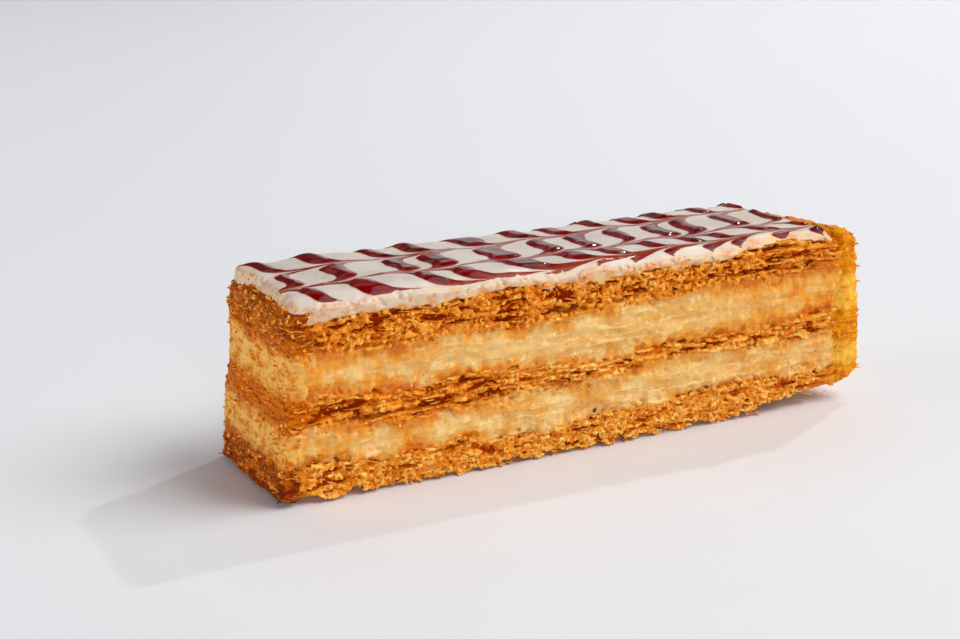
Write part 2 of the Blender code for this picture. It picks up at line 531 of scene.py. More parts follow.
# pastry sheets
pastry = {
    "voxel": (0.34 * mm, 0.34 * mm, 0.23 * mm),
    "quickVoxel": (0.46 * mm, 0.46 * mm, 0.30 * mm),
    "margin": 1.8 * mm, "adaptivity": 0.15, "limit": 190000,
    "grow": -0.45,           # mm that a sheet gives up to its neighbours above and below
    "proud": 0.5 * mm,       # how far a leaf may stand out of the cut side
    "wanderSize": (15 * mm, 15 * mm, 30 * mm), "ripple": 0.9 * mm, "rippleSize": (3.0 * mm, 3.0 * mm, 5 * mm),
    "slitSize": (6.5 * mm, 6.5 * mm, 1.3 * mm), "slitEdge": 0.08,
    "leafyRun": 8 * mm, "leafyDepth": 1.2, "crumblyDepth": 0.65, "leafyCrumb": 0.7,
    "leaved": (-75 * mm, -71 * mm, 66 * mm, 70 * mm), "smearedShare": 0.25,
    "chipSize": (5 * mm, 5 * mm, 9 * mm), "chip": 1.3, "chipLeast": 0.2,
    "leftChip": 0.9, "leftChipRun": (-74 * mm, -64 * mm),
    "rightChip": 1.1, "rightChipRun": (40 * mm, 48 * mm, 66 * mm, 76 * mm),
    "hollowFront": -20 * mm, "hollowDeep": 4.5,   # mm
}
# hollows between the leaves of the front: place along and up, half their length and height, in mm
pastrySheets = {
    "pastry_bottom": {
        "piece": "bottomSheet", "leafPitch": 0.70 * mm, "leafLength": 2.2 * mm, "leafDepth": 1.3 * mm,
        "crumbSize": 0.85 * mm, "crumbDepth": 2.4 * mm, "slitDepth": 2.2 * mm, "slitShare": 0.62,
        "wander": 2.2 * mm, "leafyFrom": None, "seed": 3.0, "border": -1,
        "paler": 0.16, "palerFrom": -90 * mm,
        "hollows": ((65.3, 8.6, 2.8, 1.3), (57.0, 9.2, 3.0, 1.0), (-63.0, 6.3, 1.0, 0.9),
                    (-36.0, 7.2, 0.9, 0.6))},
    "pastry_middle": {
        "piece": "middleSheet", "leafPitch": 0.70 * mm, "leafLength": 6.0 * mm, "leafDepth": 2.2 * mm,
        "crumbSize": 1.0 * mm, "crumbDepth": 1.8 * mm, "slitDepth": 3.6 * mm, "slitShare": 0.59,
        "wander": 3.0 * mm, "leafyFrom": None, "seed": 17.0, "border": 1,
        "paler": 0.13, "palerFrom": -38 * mm,
        "hollows": ((-69.2, 19.8, 2.6, 1.6), (-61.0, 18.0, 1.3, 1.2), (-42.5, 17.8, 4.6, 1.2),
                    (-27.5, 17.6, 3.2, 1.1), (24.3, 22.0, 3.2, 0.9), (-3.0, 18.3, 1.6, 0.7))},
    "pastry_top": {
        "piece": "topSheet", "leafPitch": 0.85 * mm, "leafLength": 2.6 * mm, "leafDepth": 1.6 * mm,
        "crumbSize": 1.15 * mm, "crumbDepth": 3.4 * mm, "slitDepth": 3.0 * mm, "slitShare": 0.60,
        "wander": 2.6 * mm, "leafyFrom": 42 * mm, "seed": 29.0, "border": 3,
        "paler": 0.0, "palerFrom": 0.0,
        "hollows": ((-9.5, 36.8, 2.2, 1.2), (9.8, 35.9, 2.4, 0.8), (-56.0, 38.4, 2.6, 0.8),
                    (49.0, 38.6, 3.4, 0.7), (60.5, 36.3, 4.2, 0.8), (30.0, 36.9, 2.5, 0.7))},
}
# along the front of the right half the top sheet rises under the icing
lift = {"along": (30 * mm, 42 * mm, 54 * mm, 62 * mm), "across": (-17 * mm, -11 * mm), "height": 0.9}


def icingLift(graph, x, y):
    # in mm
    return graph.band(x, *lift["along"]) * graph.step(y, *lift["across"], 1.0, 0.0) * lift["height"]


def insideHollows(graph, x, y, z, hollows):
    # distance out of the small hollows between leaves of the front side, in metres
    out = 1.0
    for middle, height, length, tall in hollows:
        dx, dz = (x - middle * mm) / length, (z - height * mm) / tall
        dy = (y - pastry["hollowFront"]) / pastry["hollowDeep"]
        away = graph.maths("SQRT", dx * dx + dy * dy + dz * dz)
        out = graph.least(out, (away - mm) * tall)
    return out


def makeSheet(node, look):
    piece = copyOfNode(node, look["piece"])
    graph, entry = geometryTree(look["piece"])
    place = graph.add("GeometryNodeInputPosition")
    x, y, z = parts(graph, place)
    rise, drop = layerHeights(graph, entry, place)
    before = shiftedPlace(graph, place, rise, drop, look["border"], pastry["grow"])
    inside = insideOf(graph, entry, before)
    if node == "pastry_top":
        raised = place + upward(graph, icingLift(graph, x, y) * -mm)
        inside = graph.most(inside, insideOf(graph, entry, raised))
    inside = inside - endTrim(graph, x, y, z)
    fromSide = depthFromSides(graph, entry, place)
    rim = 1.0 - graph.step(fromSide, 0.6 * cut["rim"], cut["rim"])
    moved = place + (look["seed"] * 0.01, look["seed"] * 0.013, 0.0)
    # leaves are thin bands that wander up and down and break up along their length
    wander = graph.noise(moved, pastry["wanderSize"], 1.0) - 0.5
    ripple = graph.noise(moved, pastry["rippleSize"], 1.0) - 0.5
    bent = moved + upward(graph, wander * look["wander"] + ripple * pastry["ripple"])
    leaf = look["leafLength"]
    leaves = graph.noise(bent, (leaf, leaf, look["leafPitch"]), 1.0, 0.5) * 2.0 - 1.0
    crumb = graph.noise(moved, look["crumbSize"], 1.0, 0.6) * 2.0 - 1.0
    slit = graph.noise(bent + (0.05, 0.0, 0.02), pastry["slitSize"], 0.0)
    slits = graph.step(slit, look["slitShare"], look["slitShare"] + pastry["slitEdge"])
    leafDepth, crumbDepth = look["leafDepth"], look["crumbDepth"]
    if look["leafyFrom"] is not None:
        # crumbly along most of the side, cleanly leaved from here on
        clean = graph.step(x, look["leafyFrom"], look["leafyFrom"] + pastry["leafyRun"])
        leafDepth = clean * (pastry["leafyDepth"] * leafDepth) + pastry["crumblyDepth"] * leafDepth
        crumbDepth = crumbDepth * (1.0 - clean * pastry["leafyCrumb"])
    # ends are smeared by the knife, so the leaves stand out less there
    least = pastry["smearedShare"]
    leaved = graph.band(x, *pastry["leaved"]) * (1.0 - least) + least
    carve = (leaves * leafDepth + crumb * crumbDepth - slits * look["slitDepth"]) * leaved - 0.1 * mm
    carve = graph.maths("SMOOTH_MIN", carve, leaved * pastry["proud"], 0.3 * mm)
    body = graph.least(inside + carve * rim, z - 0.02 * mm)
    body = graph.least(body, insideHollows(graph, x, y, z, look["hollows"]))
    if node == "pastry_bottom":
        # the foot of the cut sides is chipped, most at the left end
        chips = graph.step(graph.noise(moved, pastry["chipSize"], 1.0), 0.38, 0.68) * pastry["chip"]
        chips = chips + pastry["chipLeast"]
        chips = chips + graph.step(x, *pastry["leftChipRun"], 1.0, 0.0) * pastry["leftChip"]
        chips = chips + graph.band(x, *pastry["rightChipRun"]) * pastry["rightChip"]
        body = graph.least(body, (rise - chips * rim) * mm)
    voxel = pastry["voxel"]
    low, high = roomAround(node, pastry["margin"])
    mesh = volumeMesh(graph, body, low, high, voxel, pastry["adaptivity"])
    mesh = keep(graph, mesh, "depth", inside * 1000.0)
    mesh = keep(graph, mesh, "rise", rise)
    mesh = keep(graph, mesh, "drop", drop)
    hidden = fromSide > cut["hollow"]
    if node == "pastry_bottom":
        hidden = hidden * (rise > 2.0)
    runTree(piece, graph, without(graph, mesh, hidden))
    finishVolume(piece, pastry["limit"])
    return piece


# the pastry's tones from dark to pale; the dark end is also painted shade in the hollows and the pale end
# painted light on the leaf edges
pastryTonesAndPaintedShade = ((118, 18, 0), (182, 62, 0), (224, 122, 14), (244, 162, 46), (254, 210, 112))
smearedTones = (214, 110, 10), (244, 172, 50)
# Emission Strength sets the painted glow in the gaps between the leaves
pastryFinishAndGlow = {"Specular IOR Level": 0.08, "Emission Strength": 0.075, "Subsurface Weight": 0.15,
                "Subsurface Radius": (1.0, 0.45, 0.12), "Subsurface Scale": 0.8 * mm}


def pastryMaterial(name, look):
    material, graph, shader = newMaterial(name, pastryFinishAndGlow)
    place = graph.add("ShaderNodeTexCoord", None, None, "Object")
    x = parts(graph, place)[0]
    depth = attribute(graph, "depth")
    blotch = graph.noise(place, 6 * mm, 3.0, 0.6)
    speck = graph.noise(place, (0.8 * mm, 0.8 * mm, 0.45 * mm), 3.0, 0.65)
    tip = graph.noise(place + (0.3, 0.0, 0.0), 0.45 * mm, 2.0, 0.6)
    # painted shade: darker deep between the leaves, and painted light: paler at their outer edges; blotches
    # and specks vary the tone at random
    tone = graph.step(depth, -0.6, 1.3, 1.0, 0.0, "LINEAR") * 0.68 + 0.16
    tone = tone + (blotch - 0.5) * 0.45 + (speck - 0.5) * 0.55 + (tip - 0.5) * 0.45
    tone = tone + graph.step(x, look["palerFrom"], look["palerFrom"] + 20 * mm) * look["paler"]
    shade = graph.ramp(tone, pastryTonesAndPaintedShade, (0.0, 0.28, 0.52, 0.76, 1.0))
    # towards the right end custard is smeared over the leaves
    smeared = graph.step(x + (blotch - 0.5) * (12 * mm), 63 * mm, 70 * mm)
    custard = graph.mix(speck, *(screenColour(*tone) for tone in smearedTones))
    graph.plug(shader.inputs["Base Color"], graph.mix(smeared * 0.65, shade, custard))
    # painted glow: an orange emission in the gaps between the leaves stands in for the little light that
    # comes through the thin leaves
    paintedGlow = graph.step(depth + (speck - 0.5) * 1.0, 0.5, 2.2)
    graph.plug(shader.inputs["Emission Color"], graph.mix(paintedGlow, (0.0, 0.0, 0.0), (1.0, 0.10, 0.004)))
    roughen(graph, shader, 0.8, 0.22 * mm, graph.noise(place, 0.35 * mm, 3.0, 0.7) + tip * 0.6)
    graph.plug(shader.inputs["Roughness"], graph.step(speck, 0.3, 0.7, 0.62, 0.40))
    return material


# custard layers
cream = {
    "voxel": (0.42 * mm, 0.42 * mm, 0.36 * mm), "quickVoxel": (0.60 * mm, 0.60 * mm, 0.50 * mm),
    "margin": 2.6 * mm, "adaptivity": 0.05, "limit": 150000,
    "grow": 1.1,             # mm that it creeps into the pastry above and below
    "bulge": 2.6 * mm, "bulgeSize": (8 * mm, 8 * mm, 4 * mm),
    "streak": 1.1 * mm, "streakSize": (14 * mm, 14 * mm, 1.5 * mm),
    "lump": 1.8 * mm, "lumpSize": (1.8 * mm, 1.8 * mm, 2.4 * mm), "rimLump": 2.4 * mm,
    "pit": 1.1 * mm, "pitSize": (2.6 * mm, 2.6 * mm, 2.0 * mm),
}
creamLayers = {
    "cream_lower": {"piece": "lowerCustard", "seed": 5.0, "border": 0, "dry": 0.2,
                    "soakedLeft": 1.3, "soakedRight": 0.0, "deeper": 0.06},
    "cream_upper": {"piece": "upperCustard", "seed": 11.0, "border": 2, "dry": -0.3,
                    "soakedLeft": 2.0, "soakedRight": 2.6, "deeper": 0.42},
}


def makeCustard(node, look):
    piece = copyOfNode(node, look["piece"])
    graph, entry = geometryTree(look["piece"])
    place = graph.add("GeometryNodeInputPosition")
    x, y, z = parts(graph, place)
    rise, drop = layerHeights(graph, entry, place)
    before = shiftedPlace(graph, place, rise, drop, look["border"], cream["grow"])
    inside = insideOf(graph, entry, before) - endTrim(graph, x, y, z)
    fromSide = depthFromSides(graph, entry, place)
    moved = place + (look["seed"] * 0.01, look["seed"] * 0.017, 0.0)
    bulge = graph.noise(moved, cream["bulgeSize"], 2.0, 0.5) - 0.5
    streak = graph.noise(moved, cream["streakSize"], 1.0, 0.5) - 0.5
    lump = graph.noise(moved + (0.07, 0.0, 0.0), cream["lumpSize"], 2.0, 0.6) - 0.5
    pits = graph.step(graph.noise(moved + (0.03, 0.0, 0.0), cream["pitSize"], 2.0, 0.6), 0.60, 0.74)
    nearPastry = graph.step(graph.least(rise, drop), 0.0, 3.0, 1.0, 0.0)
    change = bulge * cream["bulge"] + streak * cream["streak"]
    change = change + lump * (nearPastry * cream["rimLump"] + cream["lump"])
    body = inside + change - pits * cream["pit"] * nearPastry
    voxel = cream["voxel"]
    low, high = roomAround(node, cream["margin"])
    mesh = volumeMesh(graph, body, low, high, voxel, cream["adaptivity"])
    mesh = keep(graph, mesh, "depth", inside * 1000.0)
    placeRise, placeDrop = layerHeights(graph, entry, before)
    mesh = keep(graph, mesh, "rise", placeRise)
    mesh = keep(graph, mesh, "drop", placeDrop)
    mesh = without(graph, mesh, fromSide > cut["hollow"])
    mesh = graph.add("GeometryNodeSetShadeSmooth", None, {"Geometry": mesh})
    runTree(piece, graph, mesh)
    finishVolume(piece, cream["limit"])
    return piece


# glint is a painted highlight colour
custardTones = {"pale": (228, 169, 82), "light": (240, 199, 124), "glint": (254, 228, 166),
                "soaked": (236, 154, 26), "crust": (214, 106, 4), "yolk": (248, 200, 44),
                "smear": (232, 146, 18), "paleSmear": (246, 186, 70)}
# Emission Strength sets the painted glow in the custard's hollows
custardFinishAndGlow = {"Specular IOR Level": 0.3, "Emission Strength": 0.10, "Subsurface Weight": 0.35,
                 "Subsurface Radius": (1.0, 0.6, 0.2), "Subsurface Scale": 1.4 * mm}


def custardMaterial(name, look):
    material, graph, shader = newMaterial(name, custardFinishAndGlow)
    tint = {part: screenColour(*value) for part, value in custardTones.items()}
    place = graph.add("ShaderNodeTexCoord", None, None, "Object")
    rise, drop = attribute(graph, "rise"), attribute(graph, "drop")
    cloud = graph.noise(place, (9 * mm, 9 * mm, 5 * mm), 3.0, 0.55)
    drift = graph.noise(place, (3.4 * mm, 3.4 * mm, 3.0 * mm), 4.0, 0.6)
    run = graph.noise(place, (1.5 * mm, 1.5 * mm, 6.0 * mm), 3.0, 0.55)
    smear = graph.noise(place, (11 * mm, 11 * mm, 1.3 * mm), 2.0, 0.5)
    mottle = graph.noise(place, 1.3 * mm, 2.0, 0.5)
    x = parts(graph, place)[0]
    pale = graph.mix(graph.step(cloud, 0.35, 0.66), tint["pale"], tint["light"])
    # painted highlight: glint colour along the smear streaks
    pale = graph.mix(graph.step(smear, 0.56, 0.68) * 0.55, pale, tint["glint"])
    pale = graph.mix(graph.step(x, 5 * mm, 50 * mm) * look["deeper"], pale, tint["soaked"])
    pale = graph.mix(graph.step(mottle, 0.56, 0.72) * 0.5, pale, tint["soaked"])
    # painted highlight: small glint spots
    pale = graph.mix(graph.step(mottle, 0.42, 0.32) * 0.5, pale, tint["glint"])
    # the custard next to the pastry is soaked and darker, down to an uneven line
    edge = graph.least(rise * 1.15, drop) + (cloud - 0.5) * 9.0 + (drift - 0.5) * 8.0 + (run - 0.5) * 6.0
    edge = edge + look["dry"] - graph.step(x, -74 * mm, -20 * mm, 1.0, 0.0) * look["soakedLeft"]
    edge = edge - graph.step(x, 15 * mm, 60 * mm) * look["soakedRight"]
    soaked = graph.step(edge + (mottle - 0.5) * 2.5, 0.2, 3.4, 1.0, 0.0)
    crust = graph.step(edge + (mottle - 0.5) * 3.0, -1.8, 1.0, 1.0, 0.0)
    shade = graph.mix(soaked * 0.9, pale, tint["soaked"])
    shade = graph.mix(crust * 0.8, shade, tint["crust"])
    shade = graph.mix(graph.step(drift, 0.64, 0.72) * 0.6, shade, tint["yolk"])
    smeared = graph.step(x + (cloud - 0.5) * (9 * mm) + (mottle - 0.5) * (4 * mm), 67 * mm, 70.5 * mm)
    orange = graph.mix(graph.step(mottle, 0.42, 0.62), tint["smear"], tint["paleSmear"])
    shade = graph.mix(smeared * 0.9, shade, orange)
    graph.plug(shader.inputs["Base Color"], shade)
    # painted glow: an orange emission lightens the shade in the custard's hollows
    paintedGlow = graph.step(attribute(graph, "depth"), 0.8, 2.6)
    graph.plug(shader.inputs["Emission Color"], graph.mix(paintedGlow, (0.0, 0.0, 0.0), (1.0, 0.30, 0.02)))
    roughen(graph, shader, 0.9, 0.6 * mm, drift * 1.8 + mottle * 0.5 + smear * 0.8)
    graph.plug(shader.inputs["Roughness"], graph.step(drift, 0.35, 0.65, 0.18, 0.40))
    return material


# icing with its feather lines
icing = {
    "voxel": (0.30 * mm, 0.30 * mm, 0.28 * mm), "quickVoxel": (0.40 * mm, 0.40 * mm, 0.36 * mm),
    "margin": 2.4 * mm, "limit": 195000, "rounding": 0.9, "lean": 0.12,
    "drip": 1.6, "dripWidth": 6 * mm, "chipSize": 2.2 * mm,
    "endsAt": 66.3, "endSlant": 0.055,                          # ragged right end, in mm
    "backOut": 0.9, "backRun": (8 * mm, 18 * mm),               # mm further out towards the back
    "droop": 1.7, "droopRun": (-20.0 * mm, -14.5 * mm),         # mm lower towards the front rim
}
feather = {
    # where each piped line lies along the slice and how wide it is, in mm
    "lines": ((-68.0, 3.8), (-56.0, 5.2), (-41.2, 5.0), (-32.0, 5.6), (-16.6, 8.0), (-3.4, 5.6), (7.4, 6.0),
              (18.4, 4.4), (30.0, 5.8), (38.4, 5.0), (51.8, 6.4), (63.6, 3.6)),
    # a pick is drawn through them along these lines: place across at the middle, slant, and which way
    "drags": ((-20.6, 0.010, 1.0), (-16.4, 0.055, 1.0), (-7.0, 0.030, -1.0), (8.4, 0.045, 1.0),
              (21.6, 0.020, -1.0)),
    "pull": 12.0, "reach": 0.90, "height": 0.60, "tail": 0.26,
    # thinner along the right half of the front rim, in mm
    "rimThin": 0.9, "rimFrom": -16.4, "rimRun": 1.2, "thinFrom": -15.0, "thinRun": 12.0,
}


def smoothNoise(rng, places, size):
    # one slow random curve through random heights a fixed way apart
    count = 400
    knots = rng.uniform(-1.0, 1.0, count)
    at = np.clip(places / size + count / 2, 1.0, count - 2.0)
    low = np.floor(at).astype(int)
    share = at - low
    share = share * share * (3.0 - 2.0 * share)
    return knots[low] * (1.0 - share) + knots[low + 1] * share


def plainMaths(operation, *values):
    # the sums of a node tree on rows of numbers
    sums = {"ABSOLUTE": np.abs, "EXPONENT": np.exp, "SIGN": np.sign, "SQRT": np.sqrt,
            "MAXIMUM": np.maximum, "MINIMUM": np.minimum}
    return sums[operation](*values)


def featherLines(sums, x, y, swell):
    # how far a place is inside a feather line, and how stout the line is there, in mm
    shift, slope = 0.0, 0.0
    for at, slant, way in feather["drags"]:
        gap = y - (x * slant + at)
        near = sums("EXPONENT", sums("ABSOLUTE", gap) * (-1.0 / feather["reach"])) * (way * feather["pull"])
        shift = shift + near
        slope = slope + near * sums("SIGN", gap) * (1.0 / feather["reach"])
    pulled = x - shift
    inside = -9.0
    for line, width in feather["lines"]:
        inside = sums("MAXIMUM", inside, swell * (width * 0.5) - sums("ABSOLUTE", pulled - line))
    steep = sums("SQRT", slope * slope + 1.0)
    tail = sums("MINIMUM", steep * 0.25, 1.0) * feather["tail"]
    return inside / steep + tail, swell * 2.2 / steep


def makeIcing():
    piece = copyOfNode("icing", "icingSheet")
    graph, entry = geometryTree("icingSheet")
    place = graph.add("GeometryNodeInputPosition")
    x, y = parts(graph, place)[:2]
    rise, drop = layerHeights(graph, entry, place)
    edge = depthFromOutline(graph, entry, place) * 1000.0
    coarse = graph.noise(place, 4.5 * mm, 3.0, 0.6) - 0.5
    fine = graph.noise(place, 1.3 * mm, 2.0, 0.6) - 0.5
    run = graph.noise(place * (1.0, 1.0, 0.0), icing["dripWidth"], 3.0, 0.6)
    atEdge = graph.step(edge, 0.4, 2.2, 1.0, 0.0)
    drip = graph.step(run, 0.48, 0.72) * atEdge * icing["drip"]
    lifted = rise - icingLift(graph, x, y)
    foot = lifted + drip + (coarse * 1.8 + fine * 0.5) * atEdge
    chip = graph.step(graph.noise(place, icing["chipSize"], 3.0, 0.6), 0.52, 0.64)
    side = edge - rise * icing["lean"] + coarse * 1.0 + fine * 0.3 - chip * 0.4 + 0.2
    side = side + graph.step(y, *icing["backRun"]) * icing["backOut"]
    rightEnd = icing["endsAt"] - x * 1000.0 - (y * 1000.0 + 19.0) * icing["endSlant"]
    rightEnd = rightEnd * 0.9 + coarse * 1.5 + fine
    side = graph.least(side, rightEnd)
    droop = graph.step(y, *icing["droopRun"], 1.0, 0.0) * icing["droop"] + atEdge * 0.25
    crown = drop + (graph.noise(place, 5.0 * mm, 2.0) - 0.5) * 0.4
    crown = crown - droop - atEdge * (chip * 0.5 + fine * 0.3)
    body = graph.maths("SMOOTH_MIN", side, crown, icing["rounding"])
    body = graph.maths("SMOOTH_MIN", body, foot, 0.5)
    voxel = icing["voxel"]
    low, high = roomAround("icing", icing["margin"])
    mesh = volumeMesh(graph, body * 0.001, low, high, voxel, 0.0)
    mesh = graph.add("GeometryNodeSetShadeSmooth", None, {"Geometry": mesh})
    mesh = keep(graph, mesh, "rise", lifted)
    mesh = keep(graph, mesh, "drop", drop)
    mesh = keep(graph, mesh, "edge", edge)
    upright = parts(graph, graph.add("GeometryNodeInputNormal"))[2]
    hidden = (edge > 5.0) * (rightEnd > 5.0) * (upright < 0.0)
    runTree(piece, graph, without(graph, mesh, hidden))
    finishVolume(piece, icing["limit"])
    raiseFeather(piece)
    return piece


def raiseFeather(piece):
    # feather lines stand a little proud of the white
    mesh = piece.data
    points = np.empty(len(mesh.vertices) * 3)
    mesh.vertices.foreach_get("co", points)
    points = points.reshape(-1, 3)
    normals = np.empty(len(mesh.vertices) * 3)
    mesh.vertices.foreach_get("normal", normals)
    below = np.empty(len(mesh.vertices))
    mesh.attributes["drop"].data.foreach_get("value", below)
    # 1 on top, 0 where the icing turns down or lies low
    facing = np.clip((normals.reshape(-1, 3)[:, 2] - 0.35) * 3.0, 0.0, 1.0)
    facing = facing * np.clip((1.7 - below) * 2.5, 0.0, 1.0)
    x, y = points[:, 0] * 1000.0, points[:, 1] * 1000.0
    rng = np.random.default_rng(8)
    rim = np.clip((feather["rimFrom"] - y) / feather["rimRun"], 0.0, 1.0)
    thin = 1.0 - feather["rimThin"] * rim * np.clip((x - feather["thinFrom"]) / feather["thinRun"], 0.0, 1.0)
    bentX = x + 0.35 * smoothNoise(rng, y, 3.5) + 0.5 * smoothNoise(rng, y, 12.0)
    bentY = y + 0.45 * smoothNoise(rng, x, 9.0)
    swell = thin * (1.0 + 0.22 * smoothNoise(rng, y + 0.4 * x, 5.0))
    bent = np.stack([bentX, bentY, swell], axis=1)
    mask, stout = featherLines(plainMaths, bent[:, 0], bent[:, 1], bent[:, 2])
    hump = 1.0 - np.clip(mask / 2.2, 0.0, 1.0)
    points[:, 2] += feather["height"] * mm * (1.0 - hump * hump) * facing * np.clip(stout - 0.6, 0.0, 1.0)
    mesh.vertices.foreach_set("co", points.ravel())
    layer = mesh.attributes.new("feather", "FLOAT_VECTOR", "POINT")
    layer.data.foreach_set("vector", bent.ravel())
    layer = mesh.attributes.new("facing", "FLOAT", "POINT")
    layer.data.foreach_set("value", facing)
    mesh.update()


icingTones = {"white": (202, 190, 179), "bright": (215, 203, 190), "rim": (216, 172, 118),
              "stain": (222, 134, 36), "honey": (240, 190, 84), "halo": (190, 140, 118),
              "thinLine": (142, 50, 28), "line": (80, 0, 0), "redLine": (120, 2, 0)}

icingFinish = {"Subsurface Weight": 0.12, "Subsurface Radius": (1.0, 0.85, 0.7), "Subsurface Scale": 1.0 * mm}
chocolateFinish = {"Roughness": 0.15, "Specular IOR Level": 0.1}


def icingMaterial():
    material, graph, shader = newMaterial("featheredIcing", icingFinish)
    tint = {part: screenColour(*value) for part, value in icingTones.items()}
    place = graph.add("ShaderNodeTexCoord", None, None, "Object")
    bent = graph.add("ShaderNodeAttribute", {"attribute_name": "feather"}, None, "Vector")
    mask, stout = featherLines(graph.maths, *parts(graph, bent))
    mask = mask - (1.0 - attribute(graph, "facing")) * 5.0
    rise, edge = attribute(graph, "rise"), attribute(graph, "edge")
    cloud = graph.noise(place, 7 * mm, 3.0, 0.55)
    spot = graph.noise(place + (0.2, 0.1, 0.0), (4 * mm, 4 * mm, 2.5 * mm), 4.0, 0.65)
    fine = graph.noise(place, 1.2 * mm, 3.0, 0.6)
    white = graph.mix(graph.step(cloud, 0.35, 0.65), tint["white"], tint["bright"])
    # at the rim the icing thins out and takes colour from the pastry below
    nearRim = graph.step(edge + (fine - 0.5) * 1.5, 0.2, 2.2, 1.0, 0.0)
    low = graph.step(rise + (cloud - 0.5) * 2.4 + (fine - 0.5) * 1.6, 0.2, 2.8, 1.0, 0.0)
    coloured = graph.most(low, nearRim * 0.6)
    coloured = graph.least(coloured * graph.step(parts(graph, place)[0], -50 * mm, 40 * mm, 0.85, 1.5), 1.0)
    white = graph.mix(coloured * 0.75, white, tint["rim"])
    white = graph.mix(graph.step(spot, 0.50, 0.60) * coloured * 0.85, white, tint["stain"])
    white = graph.mix(graph.step(spot, 0.47, 0.38) * coloured * 0.6, white, tint["honey"])
    halo = graph.step(mask + (fine - 0.5) * 0.3, -0.5, 0.0)
    white = graph.mix(halo * 0.45, white, tint["halo"])
    graph.plug(shader.inputs["Base Color"], white)
    graph.plug(shader.inputs["Roughness"], graph.step(fine, 0.3, 0.7, 0.34, 0.46))
    roughen(graph, shader, 0.2, 0.3 * mm, cloud)
    # the dark lines have a shader of their own
    line = graph.step(mask + (fine - 0.5) * 0.10, -0.06, 0.08)
    body = graph.step(stout + (fine - 0.5) * 0.3, 0.25, 0.95)
    depths = graph.mix(graph.step(cloud + (spot - 0.5) * 0.5, 0.38, 0.62), tint["line"], tint["redLine"])
    depths = graph.mix(graph.step(mask, 0.9, 0.2), depths, tint["redLine"])
    dark = graph.mix(body, tint["thinLine"], depths)
    chocolate = graph.add("ShaderNodeBsdfPrincipled", None, {"Base Color": dark, **chocolateFinish})
    both = graph.add("ShaderNodeMixShader", None, {0: line, 1: Wire(graph, shader.outputs[0]), 2: chocolate})
    graph.plug(material.node_tree.nodes["Material Output"].inputs["Surface"], both)
    return material


# smears at the ends
def wholeSlice(graph):
    # the smooth hull round all the solids
    join = graph.add("GeometryNodeJoinGeometry")
    for item in frame["nodes"].values():
        graph.plug(join.socket.node.inputs[0],
                   graph.add("GeometryNodeObjectInfo", None, {"Object": item}, "Geometry"))
    return graph.add("GeometryNodeConvexHull", None, {"Geometry": join})


creamHeights = (7.5, 10.5, 14.5, 17.5), (21.5, 25.0, 30.5, 33.5)   # mm, each layer's start and end


def creamyAt(graph, z, cloud):
    # 1 at the height of either custard layer and 0 between them
    height = z * 1000.0 + (cloud - 0.5) * 7.0
    lower, upper = (graph.band(height, *run) for run in creamHeights)
    return graph.most(lower, upper), height


def makeSmear(name, look):
    piece = copyOfNode("icing", name)
    graph = geometryTree(name)[0]
    place = graph.add("GeometryNodeInputPosition")
    x, y, z = parts(graph, place)
    hull = wholeSlice(graph)
    inside = (insideOf(graph, hull, place) + leftGrowth(graph, x, z)) * 1000.0
    moved = place + (look["seed"] * 0.01, look["seed"] * 0.013, 0.0)
    patch = graph.noise(moved, smearCut["patchSize"], 2.0, 0.6) - 0.5
    crumb = graph.noise(moved, smearCut["crumbSize"], 2.0, 0.6) - 0.5
    leaf = graph.noise(moved, smearCut["leafSize"], 1.0, 0.6) - 0.5
    creamy = creamyAt(graph, z, graph.noise(place, (6 * mm, 6 * mm, 3 * mm), 3.0, 0.6))[0]
    rough = crumb * smearCut["crumbDepth"] + leaf * (1.0 - creamy) * smearCut["leafDepth"]
    # sunk out of sight where it begins, then level with the cut sides
    along = pastStart(look, x, y, z)
    reach = graph.step(along + patch * smearCut["patch"], 0.0, look["run"])
    body = inside + rough + look["proud"] - (1.0 - reach) * look["sunk"]
    body = graph.least(body, along + smearCut["tuck"])
    # the foot of the right end is lifted, and that of the left end chipped
    foot = graph.step(x, *smearCut["footFrom"], *smearCut["foot"], "LINEAR")
    body = graph.least(body, z * 1000.0 - foot + rough)
    top = shoot(graph, hull, place * (0.97, 0.9, 0.0) + (0.0, 0.0, far), -1.0, "Hit Position")
    below = (parts(graph, top)[2] - z) * 1000.0
    under = (1.0 - graph.step(along + patch * 2.0, -0.5, 1.5)) * smearCut["underStart"] + look["under"]
    body = graph.least(body, below + rough * 0.7 - under)
    voxel = smearCut["voxel"]
    low, high = (Vector(corner) for corner in cadBox)
    margin = smearCut["margin"] * mm
    low = Vector((look["low"] * mm, low.y - margin, 0.0))
    high = Vector((look["high"] * mm, high.y + margin, high.z + margin))
    mesh = volumeMesh(graph, body * 0.001, low, high, voxel, smearCut["adaptivity"])
    mesh = keep(graph, mesh, "depth", inside)
    mesh = graph.add("GeometryNodeSetShadeSmooth", None, {"Geometry": mesh})
    runTree(piece, graph, mesh)
    finishVolume(piece, smearCut["limit"])
    return piece


smearFinish = {"Specular IOR Level": 0.03, "Subsurface Weight": 0.15,
               "Subsurface Radius": (1.0, 0.5, 0.12), "Subsurface Scale": 1.8 * mm}


